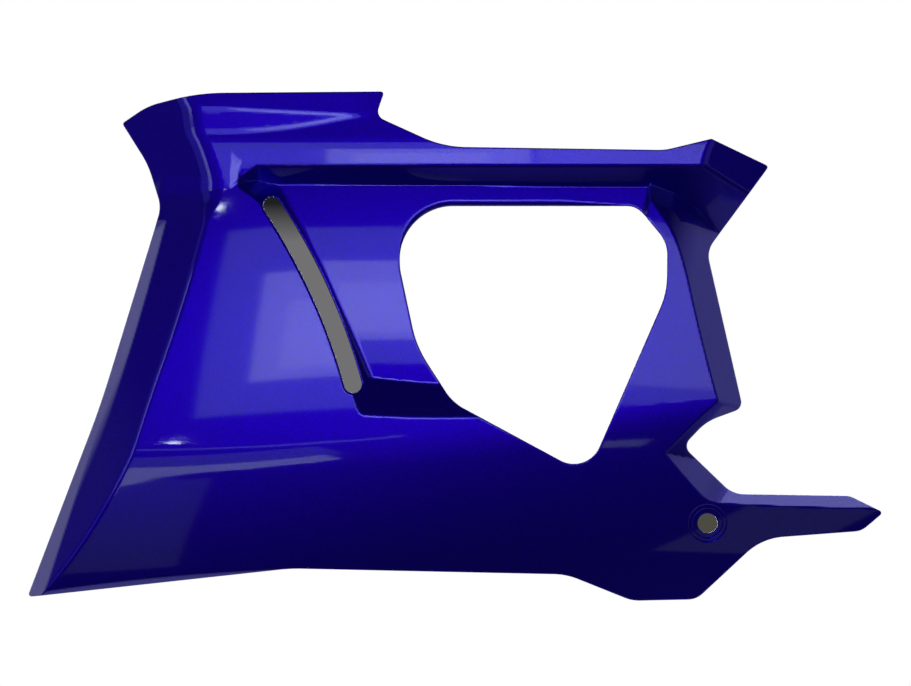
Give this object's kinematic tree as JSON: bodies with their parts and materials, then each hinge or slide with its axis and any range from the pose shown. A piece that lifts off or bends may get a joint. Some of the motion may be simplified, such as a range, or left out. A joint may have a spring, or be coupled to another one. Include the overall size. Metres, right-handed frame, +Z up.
{
  "type": "motorcycle fairing side panel",
  "caption": "Left-hand side panel of a small motorcycle fairing: a thin curved moulding with a large window, a vent slot in a recess, turned edges and a sunk screw seat.",
  "frame": {"origin": "centre of the screw hole, at the outer end of the collar behind its sloped, sunk seat", "axes": "+X rearward along the motorcycle, +Y inward to the middle of the motorcycle, +Z up; the painted face looks along -Y"},
  "size_m": [0.6419, 0.1458, 0.3824],
  "materials": {
    "painted_shell": "deep blue metallic paint under a clear gloss coat"
  },
  "bodies": {
    "root": {"side_panel": "painted_shell"}
  },
  "joints": []
}
